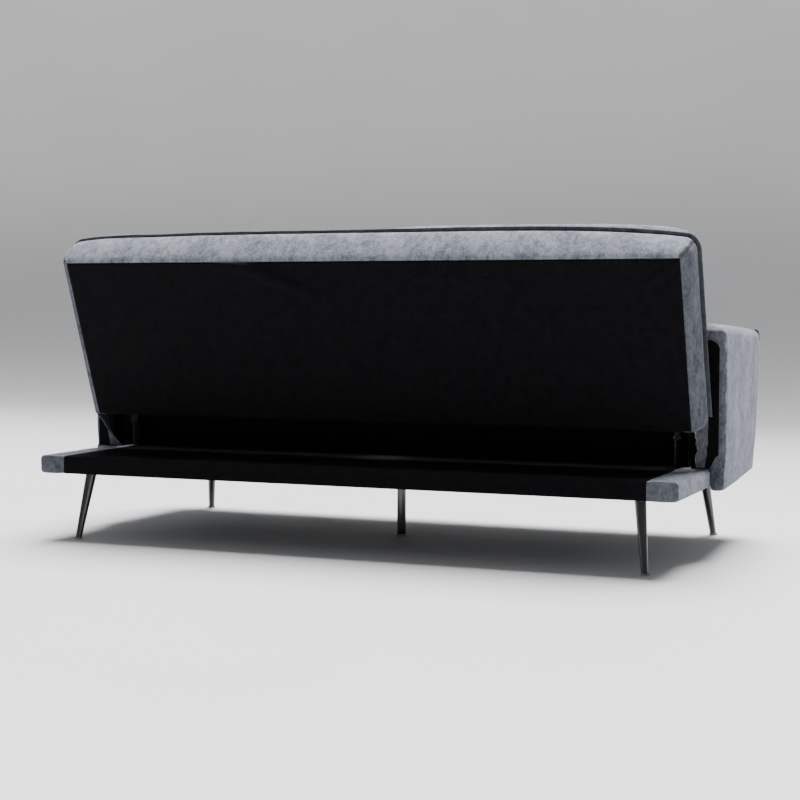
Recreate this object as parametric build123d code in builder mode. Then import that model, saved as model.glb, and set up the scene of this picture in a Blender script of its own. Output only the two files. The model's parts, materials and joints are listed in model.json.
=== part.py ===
"""Click-clack futon sofa bed, upholstered, on five metal legs.

Millimetres. X runs along the sofa, -Y is the side people sit from, +Z is up.
The origin is on the floor, under the middle of the sofa. "left" is the
sitter's left, +X. The backrest is drawn upright, its seat position, and turns
backwards about the hinge pins until it lies flat behind the seat.
"""

import os
from math import cos, radians, sin, tan

from build123d import *

os.makedirs("parts", exist_ok=True)

# ---------------------------------------------------------------- dimensions

# base
base_width = 1714.0
base_depth = 800.0
base_thickness = 45.0
leg_height = 177.0  # floor to the underside of the base
board = 22.0  # thickness of every frame board
velvet = 3.0  # velvet with its backing
cloth = 1.0  # black dust cloth
end_band = 78.0  # width of the velvet band at each end of the base
underwrap = 50.0  # how far the base cloth is turned under the rear rail
slat_width = 60.0
slat_thickness = 18.0
slat_spacing = 400.0
deck_thickness = 2.4

# legs
leg_top_radius = 14.0
leg_foot_radius = 8.0
leg_wall = 1.5
leg_top_inset_x = 109.0  # leg axis at the base, from the base's end
leg_top_inset_y = 72.0  # leg axis at the base, from its front or rear edge
leg_splay_x = 21.0
leg_splay_y = 35.0
centre_leg_radius = 12.0
centre_leg_y = -22.0
plate_size = 76.0
plate_thickness = 3.0
plate_screw_spacing = 56.0
glide_height = 5.0
glide_radius = 10.5
centre_glide_radius = 16.0
spigot_length = 9.0
screw_radius = 2.5
screw_head_radius = 5.0
screw_head_height = 2.0
screw_length = 20.0
plate_corner_radius = 8.0
block_margin = 4.0  # timber block beyond the leg plate
glide_chamfer = 0.8

# seat
seat_height = 402.0
seat_frame_height = 90.0
seat_rear_y = 42.0
seat_front_setback = 4.0  # seat front behind the base's front edge
seat_side_gap = 13.0  # seat to arm
border = 22.0  # foam on the outside of the seat frame
seat_edge_radius = 45.0

# backrest, in its own plane: X, u up the back, n forwards from its rear face
back_lean = 18.3  # degrees from upright
back_rear_y = 184.0  # lower rear corner
back_rear_z = 320.0
back_height = 434.0
back_depth = 90.0
back_frame_inset_top = 24.0
back_side_padding = 26.0  # padding outside the stile, at the rear face
back_flare = 22.0  # how much wider the padding is at the front
back_flare_top = 18.0
flange_width = 10.0
flange_thickness = 4.0
back_cushion_thickness = 80.0
back_cushion_start = 9.0
back_cushion_rise = 6.0  # cushion above the flange
back_cushion_side_inset = 8.0
cushion_edge_radius = 45.0
cushion_small_radius = 20.0
shoulder_clearance = 15.0  # wide upper part of the cushion, above the arms

# backrest laid flat
flat_clearance = 5.0  # lower rear corner behind the arms
flat_gap = 8.0  # rear face above the base

# hinge
hinge_plate = 5.0
hinge_gap = 1.0
hinge_boss_radius = 12.5
pin_radius = 4.0
pin_clearance = 0.05
pin_head_radius = 7.0
pin_head_height = 2.0
detent_radius = 2.4
detent_offset = 0.6  # detent centres outside the boss
middle_detent = 36.0  # reclined position, degrees from upright
pawl_nose_radius = 2.0
pawl_nose_clearance = 0.4
pawl_length = 46.0
pawl_width = 9.0
pawl_pivot_radius = 2.5
pawl_boss_radius = 7.0
pawl_tilt = 14.0  # nose off the line straight down from the pin, degrees
pawl_pivot_shift = 2.0  # pivot rearwards of the nose
pawl_spring_radius = 5.0
pawl_spring_wire = 1.0
pawl_spring_length = 3.0
rivet_head_radius = 5.0
post_width = 19.0  # upright part of the seat plate
post_overlap = 5.0  # the upright rearwards of the pin
seat_plate_reach = 125.0  # seat plate along the seat rail
seat_screw_depth = 16.0
seat_screw_start = 45.0  # first screw, from the seat's rear face
seat_screw_spacing = 30.0
seat_plate_height = 50.0
seat_plate_lift = 5.0  # above the underside of the seat frame
back_plate_length = 120.0  # up the stile
back_plate_rear_n = 34.0
back_plate_inset = 6.0  # behind the front of the stile
back_plate_neck = 22.0  # where the plate narrows towards the pin
plate_margin = 2.0

# arms
arm_overhang = 33.0  # arm outside the base
arm_on_base = 49.0  # arm standing on the base
arm_drop = 7.0  # arm's lower edge below the base
arm_rear_y = 86.0
arm_front_setback = 4.0
arm_top_rear = 575.0
arm_top_front = 553.0
arm_base_gap = 4.0  # outer board to the base's end
arm_pad = 12.0
arm_front_pad = 45.0  # deeper, so that the front can be rounded
arm_low_pad = 20.0
arm_board = 12.0
arm_edge_radius = 24.0
arm_top_radius = 22.0
arm_board_setback = 6.0  # edges of the boards inside the padding
arm_post = 27.0  # depth of the front and rear posts
arm_bolt_radius = 4.0
arm_bolt_head_radius = 7.0
arm_bolt_head_height = 4.0
arm_bolt_positions = (-300.0, -120.0, 50.0)
arm_bolt_tip = 3.0  # end of a bolt inside its rail

# webbing that carries the cushions
strap_width = 60.0
strap_thickness = 1.5
strap_count = 8
strap_end = 2.0  # strap end to the rail's outer edge

gap = 0.5  # glue line between boards
fit = 0.2  # clearance round screws and spigots
seam_lift = 1.0  # what stands on the base above its top
overcut = 1.0  # a cutting block beyond the piece it cuts

# ------------------------------------------------------------ derived places

base_half = base_width / 2
base_rear = base_depth / 2
base_front = -base_rear
base_top = leg_height + base_thickness
rail_low = leg_height + velvet + gap
rail_high = base_top - velvet - gap
band_start = base_half - end_band
cover_inner = base_half - velvet

leg_top_x = base_half - leg_top_inset_x
leg_top_y = base_rear - leg_top_inset_y
leg_top_z = leg_height - plate_thickness

arm_inner = base_half - arm_on_base
arm_outer = base_half + arm_overhang
arm_front_y = base_front + arm_front_setback
arm_bottom = leg_height - arm_drop

seat_half = arm_inner - seat_side_gap
seat_front_y = base_front + seat_front_setback
seat_low = base_top + seam_lift
seat_frame_top = seat_low + seat_frame_height
seat_rail_outer = seat_half - border - hinge_plate - 3 * gap
seat_plate_x = (seat_rail_outer + gap, seat_rail_outer + gap + hinge_plate)
back_plate_x = (seat_plate_x[1] + hinge_gap, seat_plate_x[1] + hinge_gap + hinge_plate)
seat_plate_low = seat_low + seat_plate_lift
seat_plate_z = (seat_plate_low, seat_plate_low + seat_plate_height)
seat_screw_z = sum(seat_plate_z) / 2
seat_screw_points = [
    (seat_rear_y - seat_screw_start - i * seat_screw_spacing, seat_screw_z) for i in range(3)
]
stile_inner = back_plate_x[1] + gap
back_frame_half = stile_inner + board
back_half = back_frame_half + back_side_padding
back_frame_top = back_height - back_frame_inset_top
flange_half = back_half + back_flare + flange_width
flange_top = back_height + back_flare_top + flange_width

lean = radians(back_lean)
back_plane = Plane(
    origin=(0, back_rear_y, back_rear_z), x_dir=(1, 0, 0), z_dir=(0, -cos(lean), sin(lean))
)
back_forwards = Axis(origin=(0, 0, 0), direction=(0, -cos(lean), sin(lean)))
back_turn = 90.0 - back_lean
detent_angles = (0.0, middle_detent, back_turn)
flat_lower_y = arm_rear_y + flat_clearance

# The hinge pin is the one centre about which that turn carries the lower rear
# corner from its upright place to its flat one.
move_y = flat_lower_y - back_rear_y
move_z = base_top + flat_gap - back_rear_z
reach = 1 / (2 * tan(radians(back_turn) / 2))
pivot_y = (back_rear_y + flat_lower_y) / 2 + reach * move_z
pivot_z = back_rear_z + move_z / 2 - reach * move_y
pivot_local = back_plane.to_local_coords(Vector(0, pivot_y, pivot_z))
pivot_u, pivot_n = pivot_local.Y, pivot_local.Z

print(f"hinge pin at y {pivot_y:.3f}, z {pivot_z:.3f}, turn {back_turn:.2f} degrees")


# -------------------------------------------------------------------- helpers


def slab(x, y, z, plane=Plane.XY, mode=Mode.ADD):
    """Box between three pairs of limits, in the part being built."""
    with BuildSketch(plane.offset(z[0])) as outline:
        with Locations(((x[0] + x[1]) / 2, (y[0] + y[1]) / 2)):
            Rectangle(x[1] - x[0], y[1] - y[0])
    extrude(outline.sketch, amount=z[1] - z[0], mode=mode)


def rod(points, radius, low, high, plane=Plane.XY, mode=Mode.ADD):
    """Round rods at the given points of a plane, from low to high above it."""
    with BuildSketch(plane.offset(low)) as outline:
        with Locations(*points):
            Circle(radius)
    extrude(outline.sketch, amount=high - low, mode=mode)


def span(side, low, high):
    """Limits along X on one side of the sofa, +1 left or -1 right."""
    return (low, high) if side > 0 else (-high, -low)


def write(piece, name):
    """Label a finished piece and save it."""
    piece.part.label = name
    export_step(piece.part, f"parts/{name}.step")


def make_board(name, x, y, z, plane=Plane.XY):
    """A plain rectangular board."""
    with BuildPart() as piece:
        slab(x, y, z, plane)
    write(piece, name)


sides = {"left": 1, "right": -1}
ends = {"rear": 1, "front": -1}
corners = [(name_y, y, name_x, x) for name_y, y in ends.items() for name_x, x in sides.items()]

# ------------------------------------------------------------------ base frame

rail_z = (rail_low, rail_high)
cross_y = base_rear - velvet - gap - board
bolt_points = [(y, (rail_low + rail_high) / 2) for y in arm_bolt_positions]

for name, side in ends.items():
    make_board(
        f"base_{name}_rail",
        (-cover_inner + gap, cover_inner - gap),
        span(side, cross_y, cross_y + board),
        rail_z,
    )

for name, side in sides.items():
    rail_x = span(side, cover_inner - gap - board, cover_inner - gap)
    with BuildPart() as base_end_rail:
        slab(rail_x, (-cross_y + gap, cross_y - gap), rail_z)
        rod(bolt_points, arm_bolt_radius + fit, *rail_x, plane=Plane.YZ, mode=Mode.SUBTRACT)
    write(base_end_rail, f"base_{name}_rail")

screw_offset = plate_screw_spacing / 2
leg_places = [(x * leg_top_x, y * leg_top_y) for _, y, _, x in corners] + [(0, centre_leg_y)]
screw_points = [
    (x + i * screw_offset, y + j * screw_offset) for x, y in leg_places for i in (-1, 1) for j in (-1, 1)
]
slat_low = rail_high - slat_thickness
between_bands = (-band_start + gap, band_start - gap)
block_low = leg_height + cloth + gap
block_half = plate_size / 2 + block_margin

with BuildPart() as base_slats:
    for x in (-slat_spacing, 0, slat_spacing):
        half = slat_width / 2
        slab((x - half, x + half), (-cross_y + gap, cross_y - gap), (slat_low, rail_high))
write(base_slats, "base_slats")

with BuildPart() as base_corner_blocks:
    for x, y in leg_places:
        inner = min(block_half, band_start - gap - abs(x))
        block_top = slat_low - gap if x == 0 else rail_high
        reach_y = cross_y - gap
        block_x = (x - block_half, x + inner) if x >= 0 else (x - inner, x + block_half)
        block_y = (max(y - block_half, -reach_y), min(y + block_half, reach_y))
        slab(block_x, block_y, (block_low, block_top))
    rod(screw_points, screw_radius + fit, leg_height, leg_height + screw_length, mode=Mode.SUBTRACT)
write(base_corner_blocks, "base_corner_blocks")

make_board(
    "base_deck",
    between_bands,
    (-cross_y, base_rear - cloth - gap),
    (rail_high, rail_high + deck_thickness),
)

with BuildPart() as base_cloth:
    slab(between_bands, (seat_rear_y, base_rear), (base_top - cloth, base_top))
    slab(between_bands, (base_rear - cloth, base_rear), (leg_height, base_top))
    slab(between_bands, (base_rear - underwrap, base_rear), (leg_height, leg_height + cloth))
    rod(screw_points, screw_radius + fit, leg_height, leg_height + cloth, mode=Mode.SUBTRACT)
write(base_cloth, "base_cloth")

with BuildPart() as base_dust_cover:
    cover_y = (base_front + velvet + gap, base_rear - underwrap - gap)
    slab(between_bands, cover_y, (leg_height, leg_height + cloth))
    rod(screw_points, screw_radius + fit, leg_height, leg_height + cloth, mode=Mode.SUBTRACT)
write(base_dust_cover, "base_dust_cover")

for name, side in sides.items():
    end_x = span(side, band_start, base_half)
    pocket_x = span(side, band_start, cover_inner)
    with BuildPart() as base_end_cover:
        slab(end_x, (base_front, base_rear), (leg_height, base_top))
        fillet(base_end_cover.faces().sort_by(Axis.X)[-1 if side > 0 else 0].edges(), velvet - gap)
        pocket_y = (base_front + velvet, base_rear - velvet)
        slab(pocket_x, pocket_y, (leg_height + velvet, base_top - velvet), mode=Mode.SUBTRACT)
        slab(span(side, gap, band_start), (base_front, base_front + velvet), (leg_height, base_top))
        rod(bolt_points, arm_bolt_radius + fit, *end_x, plane=Plane.YZ, mode=Mode.SUBTRACT)
    write(base_end_cover, f"base_{name}_cover")

# ------------------------------------------------------------------------ legs

for name_y, sign_y, name_x, sign_x in corners:
    top = Vector(sign_x * leg_top_x, sign_y * leg_top_y, leg_top_z)
    foot = Vector(sign_x * (leg_top_x + leg_splay_x), sign_y * (leg_top_y + leg_splay_y), 0)
    axis_plane = Plane(origin=foot, z_dir=top - foot)
    length = (top - foot).length
    growth = (leg_top_radius - leg_foot_radius) / length
    overrun = 2 * leg_top_radius
    with BuildPart() as leg:
        for shrink, mode in ((0, Mode.ADD), (leg_wall, Mode.SUBTRACT)):
            rings = []
            for along in (-overrun, length + overrun):
                with BuildSketch(axis_plane.offset(along)) as ring:
                    Circle(leg_foot_radius + growth * along - shrink)
                rings.append(ring.sketch)
            loft(rings, mode=mode)
        split(bisect_by=Plane.XY.offset(leg_top_z), keep=Keep.BOTTOM)
        split(bisect_by=Plane.XY.offset(glide_height), keep=Keep.TOP)
    write(leg, f"leg_{name_y}_{name_x}")

with BuildPart() as centre_leg:
    centre_point = [(0, centre_leg_y)]
    rod(centre_point, centre_leg_radius, glide_height, leg_top_z)
    rod(centre_point, centre_leg_radius - leg_wall, glide_height, leg_top_z, mode=Mode.SUBTRACT)
write(centre_leg, "centre_leg")

feet = [(x * (leg_top_x + leg_splay_x), y * (leg_top_y + leg_splay_y)) for _, y, _, x in corners]
with BuildPart() as leg_glides:
    rod(feet, glide_radius, 0, glide_height)
    rod(centre_point, centre_glide_radius, 0, glide_height)
    chamfer(leg_glides.edges().group_by(Axis.Z)[0], glide_chamfer)
    spigot_top = glide_height + spigot_length
    rod(centre_point, centre_leg_radius - leg_wall - fit, glide_height, spigot_top)
    inwards = spigot_top / leg_top_z
    spigots = [
        (x * (leg_top_x + leg_splay_x * (1 - inwards)), y * (leg_top_y + leg_splay_y * (1 - inwards)))
        for _, y, _, x in corners
    ]
    rod(spigots, leg_foot_radius / 2, glide_height, spigot_top)
write(leg_glides, "leg_glides")

with BuildPart() as leg_plates:
    with BuildSketch(Plane.XY.offset(leg_top_z)) as plate_outline:
        with Locations(*leg_places):
            RectangleRounded(plate_size, plate_size, plate_corner_radius)
        with Locations(*screw_points):
            Circle(screw_radius + fit, mode=Mode.SUBTRACT)
    extrude(amount=plate_thickness)
write(leg_plates, "leg_plates")

with BuildPart() as leg_screws:
    rod(screw_points, screw_head_radius, leg_top_z - screw_head_height, leg_top_z)
    rod(screw_points, screw_radius, leg_top_z, leg_height + screw_length - gap)
write(leg_screws, "leg_screws")

# ------------------------------------------------------------------------ seat

seat_z = (seat_low, seat_frame_top)
seat_front_rail_y = seat_front_y + border + gap
seat_rear_rail_y = seat_rear_y - cloth - gap - board
inner_front = seat_front_rail_y + board
strap_step = 2 * (seat_rail_outer - board) / strap_count
strap_x = [strap_step * (i - (strap_count - 1) / 2) for i in range(strap_count)]


def make_webbing(name, across, level, plane=Plane.XY):
    """Parallel elastic straps from rail to rail, on the rails' front or top faces."""
    with BuildPart() as webbing:
        for x in strap_x:
            strap = (x - strap_width / 2, x + strap_width / 2)
            slab(strap, across, (level, level + strap_thickness), plane)
    write(webbing, name)


for name, low in (("front", seat_front_rail_y), ("rear", seat_rear_rail_y)):
    make_board(f"seat_{name}_rail", (-seat_rail_outer, seat_rail_outer), (low, low + board), seat_z)

side_rail_y = (inner_front + gap, seat_rear_rail_y - gap)
for name, side in sides.items():
    rail_x = span(side, seat_rail_outer - board, seat_rail_outer)
    with BuildPart() as seat_side_rail:
        slab(rail_x, side_rail_y, seat_z)
        rod(seat_screw_points, screw_radius + fit, *rail_x, plane=Plane.YZ, mode=Mode.SUBTRACT)
    write(seat_side_rail, f"seat_{name}_rail")
make_board("seat_centre_rail", (-board / 2, board / 2), side_rail_y, seat_z)
seat_strap_y = (seat_front_rail_y + strap_end, seat_rear_rail_y + board - strap_end)
make_webbing("seat_webbing", seat_strap_y, seat_frame_top)

with BuildPart() as seat_border:
    slab((-seat_half, seat_half), (seat_front_y, seat_front_y + border), seat_z)
    for side in sides.values():
        side_x = span(side, seat_half - border, seat_half)
        slab(side_x, (seat_front_y + border + gap, seat_rear_y - gap), seat_z)
write(seat_border, "seat_border")

make_board(
    "seat_rear_cloth", (-seat_rail_outer, seat_rail_outer), (seat_rear_y - cloth, seat_rear_y), seat_z
)

for name, side in sides.items():
    with BuildPart() as seat_cushion:
        cushion_z = (seat_frame_top + strap_thickness + gap, seat_height)
        slab(span(side, gap, seat_half), (seat_front_y, seat_rear_y), cushion_z)
        long_edges = seat_cushion.edges().filter_by(Axis.X).group_by(Axis.Z)[-1]
        fillet(long_edges, seat_edge_radius)
        top_face = seat_cushion.faces().sort_by(Axis.Z)[-1]
        fillet(top_face.edges().filter_by(Axis.Y), cushion_small_radius)
    write(seat_cushion, f"seat_cushion_{name}")

# -------------------------------------------------------------------- backrest

frame_n = (cloth + gap, back_depth)
frame_low_u = cloth + gap
back_boards = {
    "back_top_rail": ((-stile_inner + gap, stile_inner - gap), (back_frame_top - board, back_frame_top)),
    "back_bottom_rail": ((-seat_plate_x[1], seat_plate_x[1]), (frame_low_u, frame_low_u + board)),
    "back_left_stile": (span(1, stile_inner, back_frame_half), (frame_low_u, back_frame_top)),
    "back_right_stile": (span(-1, stile_inner, back_frame_half), (frame_low_u, back_frame_top)),
    "back_centre_stile": (
        (-board / 2, board / 2),
        (frame_low_u + board + gap, back_frame_top - board - gap),
    ),
}

for name, (x, u) in back_boards.items():
    make_board(name, x, u, frame_n, back_plane)

back_strap_u = (frame_low_u + strap_end, back_frame_top - strap_end)
make_webbing("back_webbing", back_strap_u, back_depth, back_plane)

with BuildPart() as back_cloth:
    slab((-back_half, back_half), (0, back_height), (0, cloth), back_plane)
    slab((-seat_plate_x[1], seat_plate_x[1]), (0, cloth), (0, back_depth), back_plane)
write(back_cloth, "back_cloth")


def flared_pad(name, rear, front):
    """Padding that widens from the rear face of the back to its front."""
    with BuildPart() as padding:
        outlines = []
        for (x, u), n in ((rear, cloth + gap), (front, back_depth)):
            with BuildSketch(back_plane.offset(n)) as outline:
                with Locations(((x[0] + x[1]) / 2, (u[0] + u[1]) / 2)):
                    Rectangle(x[1] - x[0], u[1] - u[0])
            outlines.append(outline.sketch)
        loft(outlines, ruled=True)
    write(padding, name)


for name, side in sides.items():
    flared_pad(
        f"back_{name}_border",
        (span(side, back_frame_half + gap, back_half), (frame_low_u, back_frame_top)),
        (span(side, back_frame_half + gap, back_half + back_flare), (frame_low_u, back_frame_top)),
    )
top_low_u = back_frame_top + gap
front_half = back_half + back_flare
flared_pad(
    "back_top_border",
    ((-back_half, back_half), (top_low_u, back_height)),
    ((-front_half, front_half), (top_low_u, back_height + back_flare_top)),
)

flange_n = (back_depth + gap, back_depth + gap + flange_thickness)
with BuildPart() as back_flange:
    slab((-flange_half, flange_half), (frame_low_u, flange_top), flange_n, back_plane)
    flange_inner = flange_half - 2 * flange_width
    inner_u = (0, flange_top - 2 * flange_width)
    slab((-flange_inner, flange_inner), inner_u, flange_n, back_plane, mode=Mode.SUBTRACT)
    top_corners = back_flange.edges().filter_by(back_forwards)
    fillet(top_corners.group_by(Axis.Z)[-1], flange_width)
write(back_flange, "back_flange")

# The cushion is full width above the arms and narrower between them.
cushion_low_n = flange_n[1] + gap
cushion_high_n = cushion_low_n + back_cushion_thickness
cushion_top_u = flange_top + back_cushion_rise
shoulder_z = arm_top_rear + shoulder_clearance
shoulder_u = (shoulder_z - back_rear_z - cushion_low_n * sin(lean)) / cos(lean)
for name, side in sides.items():
    wide = flange_half - back_cushion_side_inset
    with BuildPart() as back_cushion:
        with BuildSketch(back_plane.offset(cushion_low_n)):
            with BuildLine():
                Polyline(
                    (side * gap, back_cushion_start),
                    (side * seat_half, back_cushion_start),
                    (side * seat_half, shoulder_u),
                    (side * wide, shoulder_u),
                    (side * wide, cushion_top_u),
                    (side * gap, cushion_top_u),
                    close=True,
                )
            make_face()
        extrude(amount=back_cushion_thickness)
        front_edges = back_cushion.faces().sort_by(back_forwards)[-1].edges().filter_by(Axis.X)
        front_edges = front_edges.sort_by(Axis.Z)
        fillet([front_edges[0], front_edges[-1]], cushion_edge_radius)
    write(back_cushion, f"back_cushion_{name}")

# ---------------------------------------------------------------------- hinges

pivot = (pivot_y, pivot_z)
pawl_angle = radians(-90 - pawl_tilt)
nose_distance = hinge_boss_radius + pawl_nose_clearance + pawl_nose_radius
notch_distance = hinge_boss_radius + detent_offset
nose = (pivot_y + nose_distance * cos(pawl_angle), pivot_z + nose_distance * sin(pawl_angle))
pawl_pivot = (nose[0] + pawl_pivot_shift, nose[1] - pawl_length + nose_distance)
post_y = (pivot_y + post_overlap - post_width, pivot_y + post_overlap)
boss_edge_u = pivot_u + hinge_boss_radius - gap
plate_low_u = frame_low_u + plate_margin
plate_high_n = back_depth - back_plate_inset
neck_place = (pivot_u - post_overlap, pivot_n - hinge_boss_radius + plate_margin)

for name, side in sides.items():
    seat_x = span(side, *seat_plate_x)
    back_x = span(side, *back_plate_x)

    with BuildPart() as seat_plate:
        slab(seat_x, post_y, (seat_plate_z[0], pivot_z))
        rod([pivot], hinge_boss_radius, *seat_x, plane=Plane.YZ)
        rod([pawl_pivot], pawl_boss_radius, *seat_x, plane=Plane.YZ)
        slab(seat_x, (post_y[0] - seat_plate_reach, post_y[1]), seat_plate_z)
        rod([pivot], pin_radius + pin_clearance, *seat_x, plane=Plane.YZ, mode=Mode.SUBTRACT)
        rod([pawl_pivot], pawl_pivot_radius, *seat_x, plane=Plane.YZ, mode=Mode.SUBTRACT)
        rod(seat_screw_points, screw_radius + fit, *seat_x, plane=Plane.YZ, mode=Mode.SUBTRACT)
    write(seat_plate, f"hinge_{name}_seat_plate")

    with BuildPart() as back_hinge_plate:
        with BuildSketch(Plane.YZ.offset(back_x[0])):
            with BuildLine():
                corners_un = (
                    (boss_edge_u, pivot_n),
                    (boss_edge_u, cushion_low_n),
                    (back_plate_neck, plate_high_n),
                    (back_plate_length, plate_high_n),
                    (back_plate_length, back_plate_rear_n),
                    (plate_low_u, back_plate_rear_n),
                    (plate_low_u, plate_high_n),
                    neck_place,
                )
                points = [back_plane.from_local_coords(Vector(0, u, n)) for u, n in corners_un]
                Polyline(*[(p.Y, p.Z) for p in points], close=True)
            make_face()
            with Locations(pivot):
                Circle(hinge_boss_radius)
                Circle(pin_radius, mode=Mode.SUBTRACT)
            for turned in detent_angles:
                notch_angle = pawl_angle + radians(turned)
                notch_y = pivot_y + notch_distance * cos(notch_angle)
                notch_z = pivot_z + notch_distance * sin(notch_angle)
                with Locations((notch_y, notch_z)):
                    Circle(detent_radius, mode=Mode.SUBTRACT)
        extrude(amount=hinge_plate)
    write(back_hinge_plate, f"hinge_{name}_back_plate")

    with BuildPart() as pawl:
        with BuildSketch(Plane.YZ.offset(back_x[0])):
            with Locations(pawl_pivot):
                Circle(pawl_boss_radius)
            with BuildLine():
                Polyline(
                    (pawl_pivot[0] - pawl_width / 2, pawl_pivot[1]),
                    (nose[0] - pawl_nose_radius, nose[1]),
                    (nose[0] + pawl_nose_radius, nose[1]),
                    (pawl_pivot[0] + pawl_width / 2, pawl_pivot[1]),
                    close=True,
                )
            make_face()
            with Locations(nose):
                Circle(pawl_nose_radius)
            with Locations(pawl_pivot):
                Circle(pawl_pivot_radius + pin_clearance, mode=Mode.SUBTRACT)
        extrude(amount=hinge_plate)
    write(pawl, f"hinge_{name}_pawl")

    with BuildPart() as pin:
        inner_head = span(side, seat_plate_x[0] - gap - pin_head_height, seat_plate_x[0] - gap)
        outer_head = span(side, back_plate_x[1], back_plate_x[1] + pin_head_height)
        rod([pivot], pin_head_radius, *inner_head, plane=Plane.YZ)
        rod([pivot], pin_radius, *span(side, seat_plate_x[0] - gap, back_plate_x[1]), plane=Plane.YZ)
        rod([pivot], pin_head_radius, *outer_head, plane=Plane.YZ)
    write(pin, f"hinge_{name}_pin")

with BuildPart() as pawl_rivets:
    for side in sides.values():
        head_start = back_plate_x[1] + 2 * gap
        shank = span(side, seat_plate_x[0], head_start)
        head = span(side, head_start, head_start + pin_head_height)
        rod([pawl_pivot], pawl_pivot_radius, *shank, plane=Plane.YZ)
        rod([pawl_pivot], rivet_head_radius, *head, plane=Plane.YZ)
write(pawl_rivets, "pawl_rivets")

with BuildPart() as pawl_springs:
    for side in sides.values():
        coil = span(side, seat_plate_x[0] - pawl_spring_length, seat_plate_x[0])
        coil_inner = pawl_spring_radius - pawl_spring_wire
        rod([pawl_pivot], pawl_spring_radius, *coil, plane=Plane.YZ)
        rod([pawl_pivot], coil_inner, *coil, plane=Plane.YZ, mode=Mode.SUBTRACT)
write(pawl_springs, "pawl_springs")

with BuildPart() as hinge_screws:
    for side in sides.values():
        head = span(side, seat_plate_x[1], seat_plate_x[1] + gap)
        shank = span(side, seat_plate_x[1] - seat_screw_depth, seat_plate_x[1])
        rod(seat_screw_points, screw_head_radius, *head, plane=Plane.YZ)
        rod(seat_screw_points, screw_radius, *shank, plane=Plane.YZ)
write(hinge_screws, "hinge_screws")

# ------------------------------------------------------------------------ arms

outer_board_x = (base_half + arm_base_gap, base_half + arm_base_gap + arm_board)
inner_board_x = (arm_inner + arm_pad, arm_inner + arm_pad + arm_board)
core_y = (arm_front_y + arm_front_pad, arm_rear_y - cloth - gap)
core_top = arm_top_front - arm_pad - arm_board_setback
core_low = base_top + seam_lift
between_x = (inner_board_x[1] + gap, outer_board_x[0] - gap)
arm_bolt_seat = outer_board_x[1] - arm_bolt_head_height
bolt_tip = cover_inner - gap - board + arm_bolt_tip

for name, side in sides.items():
    outer_x = span(side, *outer_board_x)
    middle_x = span(side, *between_x)
    with BuildPart() as arm_frame:
        slab(outer_x, core_y, (arm_bottom + arm_low_pad, core_top))
        rod(bolt_points, arm_bolt_radius + fit, *outer_x, plane=Plane.YZ, mode=Mode.SUBTRACT)
        head_room = span(side, arm_bolt_seat, outer_board_x[1])
        rod(bolt_points, arm_bolt_head_radius + fit, *head_room, plane=Plane.YZ, mode=Mode.SUBTRACT)
        slab(span(side, *inner_board_x), core_y, (core_low, core_top))
        slab(middle_x, core_y, (core_top - board, core_top))
        post_z = (core_low, core_top - board - gap)
        slab(middle_x, (core_y[0], core_y[0] + arm_post), post_z)
        slab(middle_x, (core_y[1] - arm_post, core_y[1]), post_z)
    write(arm_frame, f"arm_{name}_frame")

    with BuildPart() as arm_padding:
        arm_x = span(side, arm_inner, arm_outer)
        with BuildSketch(Plane.YZ.offset(arm_x[0])):
            with BuildLine():
                Polyline(
                    (arm_front_y, arm_bottom),
                    (arm_rear_y, arm_bottom),
                    (arm_rear_y, arm_top_rear),
                    (arm_front_y, arm_top_front),
                    close=True,
                )
            make_face()
        extrude(amount=arm_x[1] - arm_x[0])
        fillet(arm_padding.edges().filter_by(Axis.Z), arm_edge_radius)
        fillet(arm_padding.faces().sort_by(Axis.Z)[-1].edges(), arm_top_radius)
        base_room = span(side, arm_inner - overcut, base_half + gap)
        base_room_y = (arm_front_y - overcut, arm_rear_y + overcut)
        slab(base_room, base_room_y, (arm_bottom - overcut, core_low), mode=Mode.SUBTRACT)
        core_x = span(side, inner_board_x[0] - gap, outer_board_x[1] + gap)
        core_room_y = (core_y[0] - gap, arm_rear_y + overcut)
        slab(core_x, core_room_y, (arm_bottom + arm_low_pad - gap, core_top + gap), mode=Mode.SUBTRACT)
    write(arm_padding, f"arm_{name}_padding")

    arm_cloth_x = span(side, inner_board_x[0], outer_board_x[1])
    arm_cloth_y = (arm_rear_y - cloth, arm_rear_y)
    make_board(f"arm_{name}_cloth", arm_cloth_x, arm_cloth_y, (core_low, core_top))

with BuildPart() as arm_bolts:
    for side in sides.values():
        rod(bolt_points, arm_bolt_radius, *span(side, bolt_tip, arm_bolt_seat), plane=Plane.YZ)
        head = span(side, arm_bolt_seat, outer_board_x[1])
        rod(bolt_points, arm_bolt_head_radius, *head, plane=Plane.YZ)
write(arm_bolts, "arm_bolts")
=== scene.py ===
import json
import math

import bmesh
import bpy
import numpy as np
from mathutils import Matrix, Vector, noise


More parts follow.
